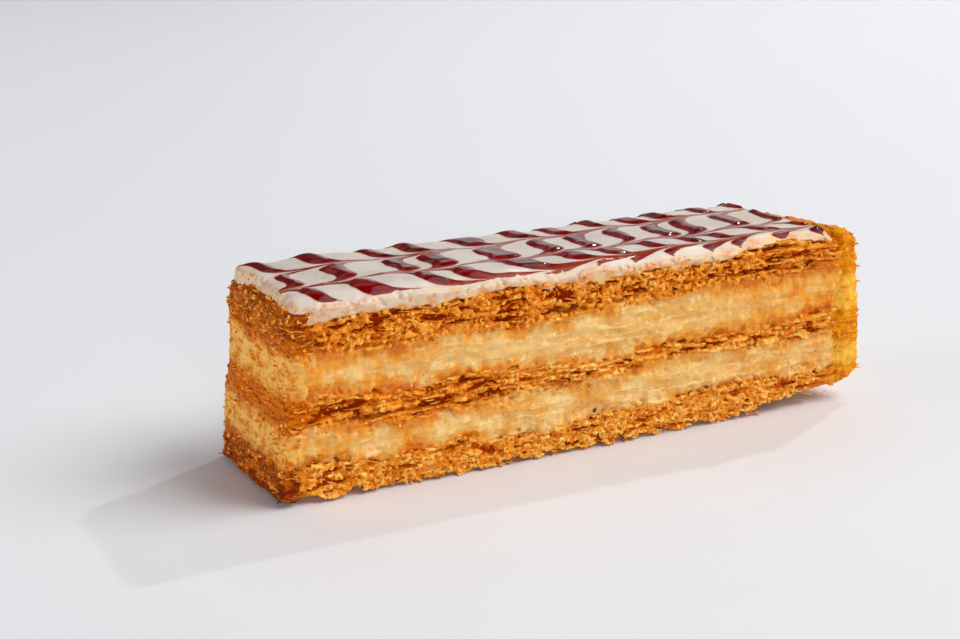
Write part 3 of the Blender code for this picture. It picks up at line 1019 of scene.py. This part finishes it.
def smearMaterial(name, look):
    material, graph, shader = newMaterial(name, smearFinish)
    place = graph.add("ShaderNodeTexCoord", None, None, "Object")
    cloud = graph.noise(place, (6 * mm, 6 * mm, 3 * mm), 3.0, 0.6)
    fine = graph.noise(place, 1.1 * mm, 3.0, 0.65)
    speck = graph.noise(place, 0.9 * mm, 2.0, 0.6)
    # paler level with the two custard layers
    creamy, height = creamyAt(graph, parts(graph, place)[2], cloud)
    tint = {part: screenColour(*look[part]) for part in ("base", "pale", "deep", "glint")}
    flaky = 1.0 - creamy * 0.8
    soft = graph.noise(place + (0.4, 0.0, 0.0), (3.2 * mm, 3.2 * mm, 2.2 * mm), 3.0, 0.6)
    custard = graph.mix(graph.step(soft, 0.32, 0.54), tint["base"], tint["pale"])
    # painted highlight: glint colour on the custard zones
    custard = graph.mix(graph.step(soft + (fine - 0.5) * 0.3, 0.60, 0.72) * 0.7, custard, tint["glint"])
    shade = graph.mix(creamy * 0.85, tint["base"], custard)
    leaf = graph.noise(place, (7 * mm, 7 * mm, 0.6 * mm), 2.0, 0.6)
    shade = graph.mix(graph.step(leaf, 0.50, 0.64) * flaky * 0.7, shade, tint["deep"])
    shade = graph.mix(graph.step(fine, 0.50, 0.66) * flaky * 0.8, shade, tint["deep"])
    # painted shade: darker in the deep tone towards the foot and under the icing
    paintedShadeBands = graph.most(graph.step(height, 5.0, 11.0, 1.0, 0.0), graph.step(height, 32.0, 36.0) * 0.6)
    shade = graph.mix(paintedShadeBands * graph.step(cloud, 0.34, 0.58) * look["paintedShade"], shade, tint["deep"])
    shade = graph.mix(graph.step(speck, 0.56, 0.68) * (0.25 + creamy * 0.35), shade, tint["pale"])
    graph.plug(shader.inputs["Base Color"], shade)
    roughen(graph, shader, 0.8, 0.3 * mm, speck + fine + leaf)
    graph.plug(shader.inputs["Roughness"], graph.step(fine, 0.35, 0.65, 0.34, 0.55))
    return material


# loose leaves, crumbs and seeds
def leafShape(rng, name, length, width, thickness):
    clearSelection()
    bpy.ops.mesh.primitive_grid_add(x_subdivisions=4, y_subdivisions=2, size=1.0, location=(0, 0, 0))
    leaf = bpy.context.object
    leaf.name = name
    twist, curl, droop = rng.uniform(-0.5, 0.5), rng.uniform(-0.3, 0.5), rng.uniform(-0.3, 0.3)
    for point in leaf.data.vertices:
        u, v = point.co.x, point.co.y
        ragged = 1.0 + rng.uniform(-0.25, 0.25) * (abs(v) > 0.4)
        taper = 1.0 - 0.5 * abs(u) * rng.uniform(0.6, 1.4)
        lift = curl * u * u + twist * u * v + droop * v * abs(v) + rng.uniform(-0.05, 0.05)
        point.co = (u * length, v * width * ragged * taper, lift * width)
    solid = leaf.modifiers.new("solid", "SOLIDIFY")
    solid.thickness = thickness
    solid.offset = 0.0
    applyAll(leaf)
    return leaf


def crumbShape(rng, name, size, stretch):
    clearSelection()
    bpy.ops.mesh.primitive_ico_sphere_add(subdivisions=1, radius=size * 0.5, location=(0, 0, 0))
    crumb = bpy.context.object
    crumb.name = name
    for point in crumb.data.vertices:
        push = rng.uniform(0.65, 1.25)
        point.co = (point.co.x * push * stretch, point.co.y * push, point.co.z * push * rng.uniform(0.6, 1.0))
    return crumb


def shapeSet(name, shapes):
    home = bpy.data.collections.new(name)
    for shape in shapes:
        for old in list(shape.users_collection):
            old.objects.unlink(shape)
        home.objects.link(shape)
    return home


def chance(graph, low, high, seed):
    # a random number or vector for each copy
    if isVector(low):
        return graph.add("FunctionNodeRandomValue", {"data_type": "FLOAT_VECTOR"},
                         {0: low, 1: high, "Seed": seed})
    return graph.add("FunctionNodeRandomValue", {"data_type": "FLOAT"}, {2: low, 3: high, "Seed": seed}, 1)


def scatterPiece(base, name, home, look):
    # copies of the shapes over the picked faces of the base, made one mesh
    piece = bpy.data.objects.new(name, base.data.copy())
    bpy.context.scene.collection.objects.link(piece)
    graph, entry = geometryTree(name)
    normal = graph.add("GeometryNodeInputNormal")
    here = graph.add("GeometryNodeInputPosition")
    chosen = look["where"](graph, here, normal)
    seed, swing = look["seed"], look["swing"]
    points = graph.add("GeometryNodeDistributePointsOnFaces", {"distribute_method": "RANDOM"},
                       {"Mesh": entry, "Selection": chosen, "Density": look["density"] * 1e6, "Seed": seed},
                       "Points")
    outward = graph.maths("NORMALIZE", points.out("Normal") * (1.0, 1.0, look["upright"]))
    push = chance(graph, *look["push"], seed + 1)
    points = graph.add("GeometryNodeSetPosition", None, {"Geometry": points, "Offset": outward * push})
    turn = graph.add("FunctionNodeAlignRotationToVector", {"axis": "Y"}, {"Vector": outward})
    wild = chance(graph, tuple(-s for s in swing), swing, seed + 2)
    turn = graph.add("FunctionNodeRotateRotation", {"rotation_space": "LOCAL"},
                     {"Rotation": turn, "Rotate By": wild})
    size = chance(graph, *look["scale"], seed + 3)
    shapes = graph.add("GeometryNodeCollectionInfo", None,
                       {"Collection": home, "Separate Children": True, "Reset Children": True})
    copies = graph.add("GeometryNodeInstanceOnPoints", None,
                       {"Points": points, "Instance": shapes, "Pick Instance": True,
                        "Rotation": turn, "Scale": size})
    tone = chance(graph, 0.0, 1.0, seed + 4)
    copies = graph.add("GeometryNodeStoreNamedAttribute", {"data_type": "FLOAT", "domain": "INSTANCE"},
                       {"Geometry": copies, "Name": "tone", "Value": tone})
    solid = graph.add("GeometryNodeRealizeInstances", None, {"Geometry": copies})
    # nothing goes below the board
    x, y, z = parts(graph, here)
    above = graph.add("ShaderNodeCombineXYZ", None, {"X": x, "Y": y, "Z": graph.most(z, 0.05 * mm)})
    solid = graph.add("GeometryNodeSetPosition", None, {"Geometry": solid, "Position": above})
    runTree(piece, graph, solid)
    countTriangles(piece)
    return piece


def onSides(graph, here, normal):
    return graph.bare(parts(graph, normal)[2]) < 0.6


def onLongSides(graph, here, normal):
    x, z = parts(graph, here)[::2]
    side = graph.bare(parts(graph, normal)[1]) > 0.6
    return side * (graph.bare(x) < endsFrom) * (z > 1.5 * mm)


def onEnds(graph, here, normal):
    # in drifts over the smears, thick near the top
    x, z = parts(graph, here)[::2]
    drift = graph.noise(here, (5 * mm, 5 * mm, 4 * mm), 2.0, 0.6) + (z > 35 * mm) * 0.15
    return (drift > 0.5) * (parts(graph, normal)[2] > -0.6) * (graph.bare(x) > endsFrom)


# the emission is a painted glow that lightens the shaded sides of the loose leaves, crumbs and seeds
looseFinishAndGlow = {"Specular IOR Level": 0.15, "Subsurface Weight": 0.15,
               "Subsurface Radius": (1.0, 0.45, 0.12), "Subsurface Scale": 0.6 * mm,
               "Emission Color": (1.0, 0.12, 0.0, 1.0), "Emission Strength": 0.03}


def looseMaterial(name, tones):
    material, graph, shader = newMaterial(name, looseFinishAndGlow)
    place = graph.add("ShaderNodeTexCoord", None, None, "Object")
    speck = graph.noise(place, 0.5 * mm, 3.0, 0.65)
    mixed = attribute(graph, "tone") * 0.7 + speck * 0.75 - 0.22
    graph.plug(shader.inputs["Base Color"], graph.ramp(mixed, tones, (0.0, 0.4, 0.75, 1.0)))
    roughen(graph, shader, 0.5, 0.1 * mm, speck)
    graph.plug(shader.inputs["Roughness"], graph.step(speck, 0.3, 0.7, 0.5, 0.3))
    return material


endsFrom = 68 * mm   # the ends are past this on either side
leafTones = ((206, 98, 10), (230, 140, 32), (246, 182, 74), (254, 220, 134))
seedTones = ((34, 18, 10), (52, 28, 14), (70, 40, 20), (90, 54, 28))
# density is in pieces to a square mm; sizes of the shapes are in mm
scatter = {
    "leaves": {"density": 0.26, "push": (-0.9 * mm, -0.35 * mm), "swing": (0.45, 0.30, 0.6),
               "scale": (0.40, 1.05), "seed": 70, "where": onLongSides, "upright": 0.0},
    "crumbs": {"density": 1.2, "push": (-0.20 * mm, 0.10 * mm), "swing": (3.1, 3.1, 3.1),
               "scale": (0.4, 1.25), "seed": 90, "where": onSides, "upright": 1.0},
    "endLeaves": {"density": 0.35, "push": (-0.35 * mm, 0.0), "swing": (0.35, 0.25, 0.6),
                  "scale": (0.35, 0.95), "seed": 80, "where": onEnds, "upright": 0.0},
    "endCrumbs": {"density": 0.4, "push": (-0.25 * mm, 0.05 * mm), "swing": (3.1, 3.1, 3.1),
                  "scale": (0.4, 1.1), "seed": 100, "where": onEnds, "upright": 1.0},
    "rimCrumbs": {"density": 0.06, "push": (-0.15 * mm, 0.15 * mm), "swing": (3.1, 3.1, 3.1),
                  "scale": (0.5, 1.3), "seed": 110, "where": onSides, "upright": 1.0},
    "seeds": {"density": 0.012, "push": (0.0, 0.04 * mm), "swing": (3.1, 3.1, 3.1),
              "scale": (0.6, 1.1), "seed": 130, "where": onSides, "upright": 1.0},
}
looseSizes = {
    "leaf": ((3.4, 1.5), (2.4, 1.3), (1.7, 1.2), (4.2, 1.4), (2.0, 1.6), (1.3, 1.1)),   # length and width
    "leafThickness": 0.14 * mm,
    "crumb": ((0.9, 1.2), (0.7, 1.0), (0.6, 1.5), (1.1, 1.1), (0.5, 1.0)),              # width and stretch
    "seed": ((0.34, 1.2), (0.34, 1.2)),
}


# build
makeCamera()
makeStage()
print("camera, floor and lights are set")


def dress(piece, material, node):
    piece.data.materials.clear()
    piece.data.materials.append(material)
    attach(piece, "root")
    if node:
        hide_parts(node)


sheetPieces = {}
for node, look in pastrySheets.items():
    sheetPieces[node] = makeSheet(node, look)
    dress(sheetPieces[node], pastryMaterial(look["piece"], look), node)
print("pastry sheets are made")

creamPieces = {}
for node, look in creamLayers.items():
    creamPieces[node] = makeCustard(node, look)
    dress(creamPieces[node], custardMaterial(look["piece"], look), node)
print("custard layers are made")

icingPiece = makeIcing()
dress(icingPiece, icingMaterial(), "icing")
print("icing is made")

smearPieces = {}
for name, look in smears.items():
    smearPieces[name] = makeSmear(name, look)
    dress(smearPieces[name], smearMaterial(name, look), None)
print("smears at the ends are made")

rng = np.random.default_rng(21)
leafShapes = shapeSet("leafShapes", [
    leafShape(rng, "leaf" + str(n), length * mm, width * mm, looseSizes["leafThickness"])
    for n, (length, width) in enumerate(looseSizes["leaf"])])
crumbShapes, seedShapes = (shapeSet(kind + "Shapes", [
    crumbShape(rng, kind + str(n), width * mm, stretch)
    for n, (width, stretch) in enumerate(looseSizes[kind])]) for kind in ("crumb", "seed"))
leafMaterial, seedMaterial = looseMaterial("looseLeaf", leafTones), looseMaterial("vanillaSeed", seedTones)


def strew(base, name, shapes, kind):
    seeds = kind == "seeds"
    piece = scatterPiece(base, name, shapes, scatter[kind])
    dress(piece, seedMaterial if seeds else leafMaterial, None)


for node, look in pastrySheets.items():
    strew(copyOfNode(node, "base"), look["piece"].replace("Sheet", "Leaves"), leafShapes, "leaves")
    strew(sheetPieces[node], look["piece"].replace("Sheet", "Crumbs"), crumbShapes, "crumbs")
for name, base in smearPieces.items():
    strew(base, name.replace("Smear", "Crumbs"), crumbShapes, "endCrumbs")
    strew(base, name.replace("Smear", "Leaves"), leafShapes, "endLeaves")
strew(icingPiece, "icingCrumbs", crumbShapes, "rimCrumbs")
for node, look in creamLayers.items():
    strew(creamPieces[node], look["piece"].replace("Custard", "Seeds"), seedShapes, "seeds")
for item in [item for item in bpy.data.objects if item.name.startswith("base")]:
    bpy.data.objects.remove(item, do_unlink=True)
for home in (leafShapes, crumbShapes, seedShapes):
    for item in list(home.objects):
        bpy.data.objects.remove(item, do_unlink=True)
    bpy.data.collections.remove(home)
print("loose leaves, crumbs and seeds are made")
